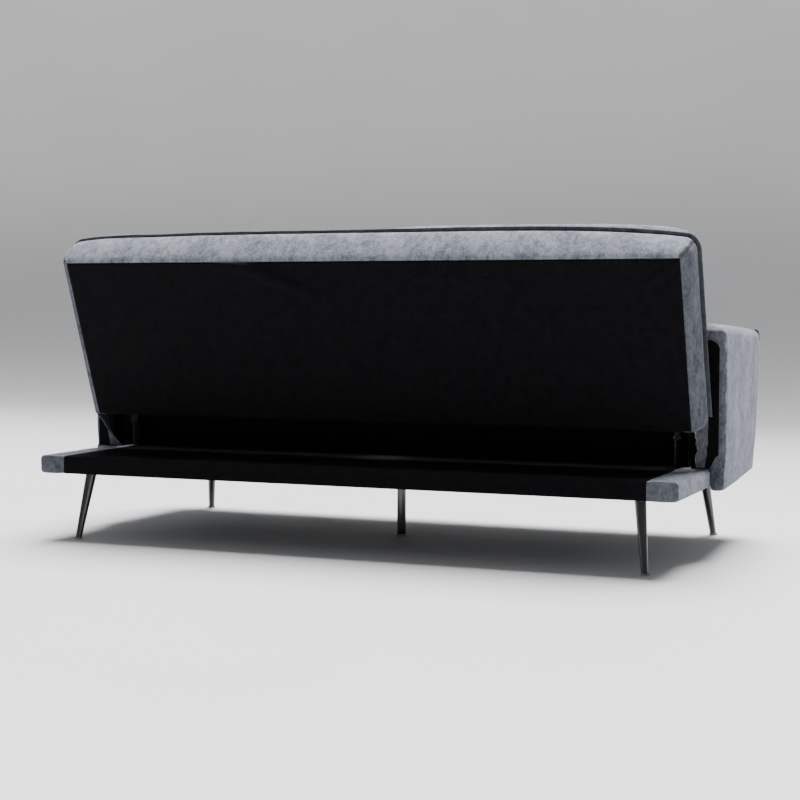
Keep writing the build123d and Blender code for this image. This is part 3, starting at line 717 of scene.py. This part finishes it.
def cushion_pair(side, name):
    """The seat and back cushions on one side of the middle."""
    middle_gap = 0.002
    outer = SEAT_HALF - 0.001
    low_x, high_x = sorted((side * middle_gap, side * outer))

    def seat_outline(s, t):
        return pulled(s, t, (low_x, SEAT_FRONT), (high_x, SEAT_REAR), 0.010)

    def seat_place(p, q, h):
        return np.stack([p, q, SEAT_FRAME_TOP + 0.002 + h], axis=-1)

    pad = cushion(
        f"seat_pad_{name}", seat_place, seat_outline, thickness=0.078, shape=7.0, crown_height=0.010
    )
    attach(pad, "base")
    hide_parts(f"seat_cushion_{name}")

    def back_outline(s, t):
        """Wider above the arms, with its top edge following the crown."""
        q = 0.2345 + 0.2275 * t
        wide = outer + 0.052 * smooth(q, 0.252, 0.290)
        rise = -0.006 if side > 0 else 0.0035
        q = q + (crown(side * 0.42 * (1 + s * side)) * 0.50 + rise * (1 - s**4)) * smooth(t, 0.2, 1.0)
        across = (middle_gap + wide) / 2 + (wide - middle_gap) / 2 * s * side
        across = across - 0.004 * (1 - t**2) * np.abs(s) ** 3 * np.sign(s * side)
        return drift(side * across), q

    def back_place(p, q, h):
        return back_points(p, q, 0.0955 + h)

    pad = cushion(
        f"back_pad_{name}", back_place, back_outline, thickness=0.072, shape=7.0, crown_height=0.010
    )
    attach(pad, "back")
    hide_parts(f"back_cushion_{name}")


for side, name in SIDES:
    cushion_pair(side, name)


def border_pads():
    """Velvet over foam on the front and the ends of the seat frame."""
    middle_z, half_z = 0.268, 0.0445

    def front_outline(s, t):
        return 0.794 * s, middle_z + half_z * t

    def front_place(p, q, h):
        return np.stack([p, -0.3745 - h, q], axis=-1)

    pads = [
        cushion(
            "seat_front_pad", front_place, front_outline, thickness=0.022, shape=12.0, crown_height=0.003
        )
    ]
    for side, name in SIDES:

        def end_outline(s, t):
            return -0.1665 + 0.2065 * s, middle_z + half_z * t

        def end_place(p, q, h):
            return np.stack([side * (0.7735 + h), p, q], axis=-1)

        end = cushion(
            f"seat_end_pad_{name}", end_place, end_outline, thickness=0.021, shape=12.0, crown_height=0.002
        )
        pads.append(end)
    for pad in pads:
        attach(pad, "base")
    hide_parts("seat_border")


border_pads()


def back_deck():
    """Black cloth over the front of the backrest's frame, under the cushions."""
    x = np.linspace(-0.836, 0.836, 140)[None, :]
    t = np.linspace(0, 1, 44)[:, None]
    x, t = np.broadcast_arrays(x, t)
    flat = back_points(drift(x), 0.006 + t * (0.440 + crown(x)), 0.0932 + 0 * t)
    grid = flat + (wrinkles(flat, 9.0, 35.0) * 0.0008)[..., None] * BACK_N
    obj = cloth_sheet("back_deck_cloth", [grid], CLOTH, dust_cloth)
    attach(obj, "back")


back_deck()


def straps(name, node, body, place):
    """Elastic straps side by side, each sagging a little between its rails."""
    v = np.linspace(0, 1, 24)[:, None]
    w = np.linspace(-STRAP_HALF, STRAP_HALF, 7)[None, :]
    v, w = np.broadcast_arrays(v, w)
    sag = 0.004 * np.sin(np.pi * v)
    middle = (STRAP_COUNT - 1) / 2
    grids = [place((k - middle) * STRAP_PITCH + w, v, sag) for k in range(STRAP_COUNT)]
    obj = cloth_sheet(name, grids, 0.0014, webbing)
    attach(obj, body)
    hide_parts(node)


def seat_strap_place(x, v, sag):
    """From the seat's rear rail to its front rail."""
    return np.stack([x, 0.0385 - 0.410 * v, 0.3137 - sag], axis=-1)


def back_strap_place(x, v, sag):
    """From the backrest's bottom rail to its top rail."""
    return back_points(x, 0.0035 + 0.4045 * v, 0.0907 - sag)


straps(
    "seat_straps", "seat_webbing", "base", seat_strap_place,
)
straps(
    "back_straps", "back_webbing", "back", back_strap_place,
)

# ------------------------------------------------------------------ base parts


def base_cover(side, name):
    """Velvet round one end of the base."""
    shift = 0.006 if side > 0 else 0.0
    inner, outer = BASE_HALF - BAND + shift, BASE_HALF + shift
    radius = 0.006
    corner = 0.010
    longest = 0.012  # between points round a ring

    def ring(x, shrink, rounding):
        """Rounded rectangle across the band at x."""
        y_low, y_high = -BASE_REAR + shrink, BASE_REAR - shrink
        z_low, z_high = BASE_LOW + shrink, BASE_TOP - shrink
        points = []
        for cy, cz, first in (
            (y_high - rounding, z_high - rounding, 0.0),
            (y_low + rounding, z_high - rounding, 0.5),
            (y_low + rounding, z_low + rounding, 1.0),
            (y_high - rounding, z_low + rounding, 1.5),
        ):
            for a in np.linspace(0, 0.5, 7):
                angle = (first + a) * math.pi
                points.append((x, cy + rounding * math.cos(angle), cz + rounding * math.sin(angle)))
        dense = []
        for a, b in zip(points, points[1:] + points[:1]):
            steps = max(1, int(math.dist(a, b) / longest))
            for k in range(steps):
                dense.append([a[i] + (b[i] - a[i]) * k / steps for i in range(3)])
        return dense

    rows = [ring(inner - 0.0012, 0.0014, radius), ring(inner, 0.0, radius)]
    steps = np.linspace(inner + 0.004, outer - corner, 12)
    rows += [ring(x, -0.0012 * math.sin(math.pi * (x - inner) / BAND), radius) for x in steps]
    for a in np.linspace(0.15, 1, 6) * math.pi / 2:
        x = outer - corner + corner * math.sin(a)
        rows.append(ring(x, corner * (1 - math.cos(a)), radius + corner * (1 - math.cos(a)) * 0.3))
    count = min(len(r) for r in rows)
    grid = np.array([[r[int(k * len(r) / count)] for k in range(count)] for r in rows])
    grid[..., 0] *= side
    ripple = wrinkles(grid, 22.0, 5.0 + side) * 0.0011 + wrinkles(grid, 60.0, side) * 0.0005
    grid[..., 2] += ripple
    grid[..., 1] += ripple * np.sign(grid[..., 1]) * (np.abs(grid[..., 1]) > 0.38)
    if side < 0:
        grid = grid[:, ::-1]
    cover = tube(f"base_end_cover_{name}", grid, velvet)
    # painted shade on the cover's rear faces
    shade_where(cover, velvet_painted_shade, lambda centre, normal: normal.y > 0.6)
    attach(cover, "base")
    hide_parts(f"base_{name}_cover")


for side, name in SIDES:
    base_cover(side, name)


def base_front():
    """Velvet along the front rail, between the two end covers."""
    front_radius, rear_radius = 0.0055, 0.003
    front, rear = -BASE_REAR + front_radius, -BASE_REAR + 0.0075
    low, high = BASE_LOW + front_radius, BASE_TOP - front_radius
    section = []
    for cy, cz, first in (
        (front, high, 0.5), (front, low, 1.0), (rear, low, 1.5), (rear, high, 0.0)
    ):
        radius = front_radius if cy == front else rear_radius
        for a in np.linspace(0, 0.5, 5):
            angle = (first + a) * math.pi
            section.append((cy + radius * math.cos(angle), cz + radius * math.sin(angle)))
    x = np.linspace(-(BASE_HALF - BAND) + 0.001, BASE_HALF - BAND - 0.001, 160)
    grid = np.array([[(v, y, z) for y, z in section] for v in x])
    grid[..., 1] += wrinkles(grid, 20.0, 11.0) * 0.0008
    return tube("base_front_cover", grid, velvet)


front_cover = base_front()
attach(front_cover, "base")


def base_cloth():
    """Black cloth over the rear of the base, turned under its rear rail."""
    half = BASE_HALF - BAND + 0.0012
    above = BASE_TOP + 0.0004
    turn, low_turn = 0.006, 0.004
    route = [(y, above) for y in np.linspace(0.043, BASE_REAR - turn, 60)]
    for a in np.linspace(0.1, 1.0, 8) * math.pi / 2:
        route.append((BASE_REAR - turn + turn * math.sin(a), above - turn + turn * math.cos(a)))
    route += [(BASE_REAR, z) for z in np.linspace(BASE_TOP - turn - 0.003, BASE_LOW + 0.005, 10)]
    for a in np.linspace(0.2, 1.0, 5) * math.pi / 2:
        y = BASE_REAR - low_turn + low_turn * math.cos(a)
        route.append((y, BASE_LOW + low_turn - low_turn * math.sin(a)))
    route += [(y, BASE_LOW + 0.0004) for y in np.linspace(0.390, 0.350, 6)]
    x = np.linspace(half, -half, 221)[None, :]
    y = np.array([r[0] for r in route])[:, None]
    z = np.array([r[1] for r in route])[:, None]
    x, y, z = np.broadcast_arrays(x, y, z)
    grid = np.stack([x + 0.006 * smooth(x, 0.5, half), y, z], axis=-1)
    level = (z > BASE_TOP - 0.002) * smooth(half - np.abs(x), 0.0, 0.03)
    drape = wrinkles(grid, 7.0, 8.0) * 0.0018 + wrinkles(grid, 24.0, 6.0) * 0.0008
    ridge = np.exp(-(((y - 0.383 + 0.004 * np.sin(x * 9.0)) / 0.008) ** 2))
    ridge = ridge * (0.0026 + 0.0012 * np.sin(x * 21.0 + 1.0))
    lift = np.minimum(np.abs(drape) + ridge, 0.0033) * level
    grid[..., 2] += lift
    face = (y > BASE_REAR - 0.0005) * smooth(half - np.abs(x), 0.0, 0.03)
    grid[..., 1] += face * (wrinkles(grid, 9.0, 14.0) * 0.0012)
    return cloth_sheet("base_rear_cloth", [grid], CLOTH, dust_cloth)


base_rear_cloth = base_cloth()
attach(base_rear_cloth, "base")
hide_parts("base_cloth")


def flat_cloth(name, body, corner, across, along, counts, nodes, seed):
    """A stretched cloth over a flat opening, with a little slack in it."""
    a = np.linspace(0, 1, counts[0])[None, :, None]
    b = np.linspace(0, 1, counts[1])[:, None, None]
    across, along = np.array(across), np.array(along)
    grid = np.array(corner) + a * across + b * along
    normal = np.cross(along, across)
    normal /= np.linalg.norm(normal)
    inside = (np.sin(np.pi * a) * np.sin(np.pi * b))[..., 0] ** 0.5
    slack = (wrinkles(grid, 6.0, seed) * 0.0016 + wrinkles(grid, 21.0, seed + 3) * 0.0006) * inside
    grid = grid + slack[..., None] * normal
    obj = cloth_sheet(name, [grid], CLOTH, dust_cloth)
    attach(obj, body)
    if nodes:
        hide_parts(*nodes)


flat_cloth(
    "base_underside_cloth", "base", (-0.7785, -0.3965, 0.1768), (1.557, 0, 0), (0, 0.746, 0), (120, 60),
    ["base_dust_cover"], 21.0,
)
flat_cloth(
    "seat_back_cloth", "base", (-0.793, 0.0418, 0.2235), (1.586, 0, 0), (0, 0, 0.089), (120, 16),
    ["seat_rear_cloth"], 25.0,
)
flat_cloth(
    "seat_deck_cloth", "base", (-0.792, -0.393, 0.3152), (1.584, 0, 0), (0, 0.434, 0), (120, 40),
    [], 31.0,
)

# ------------------------------------------------------------------------ arms


def arm_top(y):
    """Height of the arm's top edge before its round, rising to the rear."""
    return 0.553 + 0.022 * (y - ARM_FRONT) / (ARM_REAR - ARM_FRONT)


def arm_outline(inner, radii, inset):
    """Rounded rectangle in plan, drawn in by inset; radii are the outer and inner corners'."""
    x0, x1, y0, y1 = inner + inset, ARM_OUTER - inset, ARM_FRONT + inset, ARM_REAR - inset
    room = min(x1 - x0, y1 - y0) / 2 - 1e-4
    outer_r, inner_r = (max(0.0008, min(r - inset * 0.3, room)) for r in radii)
    points = []
    corner = 9  # points round each corner
    for cx, cy, first, radius in (
        (x1 - outer_r, y0 + outer_r, 1.5, outer_r), (x1 - outer_r, y1 - outer_r, 0.0, outer_r),
        (x0 + inner_r, y1 - inner_r, 0.5, inner_r), (x0 + inner_r, y0 + inner_r, 1.0, inner_r),
    ):
        for a in np.linspace(0, 0.5, corner):
            angle = (first + a) * math.pi
            points.append((cx + radius * math.cos(angle), cy + radius * math.sin(angle)))
    side_steps = (34, 8, 34, 8)  # along the outer, rear, inner and front sides
    dense = []
    for index, (a, b) in enumerate(zip(points, points[1:] + points[:1])):
        side, place = divmod(index, corner)
        steps = side_steps[side] if place == corner - 1 else 1
        for k in range(steps):
            dense.append((a[0] + (b[0] - a[0]) * k / steps, a[1] + (b[1] - a[1]) * k / steps))
    return np.array(dense)


def arm_taper(grid):
    """Draws the outer face in towards the lower front, and rakes the front edge."""
    grid = grid.copy()
    forward = np.clip((ARM_REAR - grid[..., 1]) / (ARM_REAR - ARM_FRONT), 0, 1)
    down = np.clip((TAPER_TOP - grid[..., 2]) / (TAPER_TOP - ARM_LOW), 0, 1)
    outer = smooth(grid[..., 0], ARM_DROP_INNER, ARM_OUTER)
    grid[..., 0] -= outer * (0.005 + 0.011 * down) * smooth(forward, 0.0, 1.0)
    grid[..., 1] += smooth(forward, 0.7, 1.0) * (0.010 + 0.020 * down)
    grid[..., 2] += 0.012 * forward * smooth(down, 0.75, 1.0)
    return grid


def behind_seat(centre, normal):
    """The arm's inner face in the gap behind the seat."""
    return abs(centre.x) < 0.8215 and centre.y > 0.02 and centre.z < 0.37


def arm(side, name):
    """Padded arm that stands on the base and drops outside it."""
    rows = []

    def put(inner, inset, height, radii=(0.024, 0.014)):
        """One ring of the arm; height gives z for each y."""
        plan = arm_outline(inner, radii, inset)
        z = np.array([height(y) for y in plan[:, 1]])
        rows.append(np.column_stack([plan, z]))

    drop_radii = (0.016, 0.002)
    for inset, rise in ((0.013, 0.0), (0.008, 0.0002), (0.002, 0.0025), (0.0, 0.008)):
        put(ARM_DROP_INNER, inset, lambda y: ARM_LOW + rise, drop_radii)
    for z in np.linspace(ARM_LOW + 0.016, ARM_LEDGE - 0.001, 5):
        put(ARM_DROP_INNER, 0.0, lambda y: z, drop_radii)
    put(ARM_INNER, 0.0, lambda y: ARM_LEDGE + 0.0005, (0.020, 0.010))
    for k in np.linspace(0.01, 1, 40):
        put(ARM_INNER, 0.0, lambda y: ARM_LEDGE + k * (arm_top(y) - ARM_ROUND - ARM_LEDGE))
    for a in np.linspace(0.12, 1, 9) * math.pi / 2:
        put(ARM_INNER, ARM_ROUND * (1 - math.cos(a)), lambda y: arm_top(y) - ARM_ROUND * (1 - math.sin(a)))
    last = ARM_ROUND + 0.0165
    for inset in (0.028, 0.033, 0.038, last):
        share = (inset - ARM_ROUND) / (last - ARM_ROUND)
        put(ARM_INNER, inset, lambda y: arm_top(y) + 0.004 * math.sin(share * math.pi / 2))
    grid = np.array(rows)
    centre_x = (ARM_INNER + ARM_OUTER) / 2
    height = grid[..., 2]
    lower = smooth(height, ARM_LOW, ARM_LOW + 0.12) * smooth(0.585 - height, 0.0, 0.12)
    bulge = 0.0045 * lower * np.sign(grid[..., 0] - centre_x)
    half_width = (ARM_OUTER - ARM_INNER) / 2
    flat_side = np.abs(np.abs(grid[..., 0] - centre_x) - half_width) < 0.012
    ripple = wrinkles(grid, 10.0, 4.0 + side) * 0.0016 + wrinkles(grid, 33.0, 2.0 + side) * 0.0008
    above_ledge = smooth(height, ARM_LEDGE + 0.002, ARM_LEDGE + 0.02)
    keep = np.maximum(above_ledge, grid[..., 0] > centre_x)
    grid[..., 0] += (bulge * flat_side + ripple * np.sign(grid[..., 0] - centre_x)) * keep
    grid = arm_taper(grid)
    grid[..., 0] *= side
    if side < 0:
        grid = grid[:, ::-1]
    pad = tube(f"arm_pad_{name}", grid, velvet)
    # painted shade on the arm's rear faces below the taper
    shade_where(pad, velvet_painted_shade, lambda centre, normal: normal.y > 0.45 and centre.z < TAPER_TOP)
    shade_where(pad, dust_cloth, behind_seat)
    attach(pad, "base")
    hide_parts(f"arm_{name}_padding")


def arm_cloth(side, name):
    """Black cloth on the rear of an arm, arched at its top."""
    low, high, top = 0.821, 0.8775, 0.537
    radius = (high - low) / 2
    t = np.linspace(0, 1, 60)[:, None]
    s = np.linspace(-1, 1, 15)[None, :]
    centre = (low + high) / 2
    ceiling = top - radius + radius * np.sqrt(np.maximum(0, 1 - (np.abs(s) * 0.96) ** 2.4))
    floor = ARM_LEDGE + (0.034 if side < 0 else 0.0) * smooth(s, 0.1, 0.95)
    z = floor + t * (ceiling - floor)
    x = centre + radius * s + 0 * t
    y = np.full_like(x, ARM_REAR + 0.0008)
    grid = np.stack([x, y, z], axis=-1)
    grid[..., 1] += wrinkles(grid, 18.0, 6.0 * side) * 0.0011 * (1 - s**2)
    grid[..., 0] *= side
    cloth = cloth_sheet(f"arm_rear_cloth_{name}", [grid], CLOTH, dust_cloth)
    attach(cloth, "base")
    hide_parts(f"arm_{name}_cloth")


def arm_lip(side, name):
    """Self-fabric seam lip round the front of an arm, standing up at its top corner."""
    wide, tall, arc_z = 0.026, 0.0255, 0.527  # the round at each top corner
    route = [(ARM_OUTER - 0.001, z) for z in np.linspace(0.186, 0.520, 40)]
    for a in np.linspace(0.1, math.pi / 2, 10):
        route.append((ARM_OUTER - wide + wide * math.cos(a), arc_z + tall * math.sin(a)))
    route += [(x, 0.5530) for x in np.linspace(ARM_OUTER - 0.034, ARM_INNER + 0.034, 8)]
    for a in np.linspace(0.0, math.pi / 2, 10):
        route.append((ARM_INNER + wide - wide * math.sin(a), arc_z + tall * math.cos(a)))
    route += [(ARM_INNER + 0.001, z) for z in np.linspace(0.515, 0.235, 34)]
    route = np.array(route)
    tangent = np.gradient(route, axis=0)
    tangent /= np.linalg.norm(tangent, axis=1, keepdims=True)
    outward = np.column_stack([tangent[:, 1], -tangent[:, 0]])
    # (out from the route, along Y)
    section = [(-0.008, -0.0014), (0.0002, -0.0012), (0.0014, 0.0), (0.0002, 0.0012), (-0.008, 0.0014)]
    stand = 0.0024 * np.exp(-(((route[:, 0] - 0.880) / 0.007) ** 2)) * (route[:, 1] > 0.52)
    rows = []
    for out, thick in section:
        p = route + outward * (out + np.where(out > 0, stand * 2.4, 0.0))[:, None]
        y = np.full(len(p), ARM_FRONT + 0.0155 + thick)
        rows.append(np.column_stack([p[:, 0], y, p[:, 1]]))
    grid = arm_taper(np.array(rows).transpose(1, 0, 2))
    grid[..., 1] += wrinkles(grid, 20.0, 3.0) * 0.0014
    grid[..., 0] *= side
    if side < 0:
        grid = grid[:, ::-1]
    # the lip is given deep painted shade
    obj = tube(f"arm_front_lip_{name}", grid, velvet_deep_painted_shade)
    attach(obj, "base")


for side, name in SIDES:
    arm(side, name)
    arm_cloth(side, name)
    arm_lip(side, name)

# ---------------------------------------------------------------- camera, stage

camera_data = bpy.data.cameras.new("camera")
camera_data.lens = 77.03
camera_data.sensor_width = 36.0
camera = bpy.data.objects.new("camera", camera_data)
bpy.context.scene.collection.objects.link(camera)
bpy.context.scene.camera = camera
camera.location = (-1.762, 4.195, 0.65)
yaw, pitch = math.radians(22.73), math.radians(3.565)
aim = Vector((math.sin(yaw) * math.cos(pitch), -math.cos(yaw) * math.cos(pitch), -math.sin(pitch)))
camera.rotation_mode = "QUATERNION"
camera.rotation_quaternion = aim.to_track_quat("-Z", "Y")

STAGE_REACH, WALL_FOOT, WALL_BEND, WALL_TOP = 30.0, -4.0, 1.5, 6.0
profile = [(STAGE_REACH, 0.0), (WALL_FOOT, 0.0)]
profile += [
    (WALL_FOOT - WALL_BEND * math.sin(a), WALL_BEND - WALL_BEND * math.cos(a))
    for a in np.linspace(0.1, 1.5, 10)
]
profile += [(WALL_FOOT - WALL_BEND, WALL_TOP)]
backdrop = np.array([[(x, y, z) for x in np.linspace(-STAGE_REACH, STAGE_REACH, 3)] for y, z in profile])
stage = add_mesh("stage", backdrop.reshape(-1, 3), quads(len(profile), 3), floor_material())


def sun(name, azimuth, elevation, strength, angle):
    """Soft light coming from that direction; azimuth 0 is from -Y, 90 from +X."""
    data = bpy.data.lights.new(name, "SUN")
    data.energy = strength
    data.angle = math.radians(angle)
    light = bpy.data.objects.new(name, data)
    bpy.context.scene.collection.objects.link(light)
    a, e = math.radians(azimuth), math.radians(elevation)
    towards = Vector((math.sin(a) * math.cos(e), -math.cos(a) * math.cos(e), math.sin(e)))
    light.rotation_mode = "QUATERNION"
    light.rotation_quaternion = towards.to_track_quat("Z", "Y")


sun("overhead", azimuth=4.0, elevation=70.0, strength=12.5, angle=38.0)
sun("side", azimuth=-28.0, elevation=20.0, strength=5.2, angle=22.0)

world = bpy.data.worlds.new("world")
bpy.context.scene.world = world
world.use_nodes = True
background = world.node_tree.nodes["Background"]
background.inputs["Color"].default_value = (0.95, 0.97, 1.0, 1)
background.inputs["Strength"].default_value = 0.34
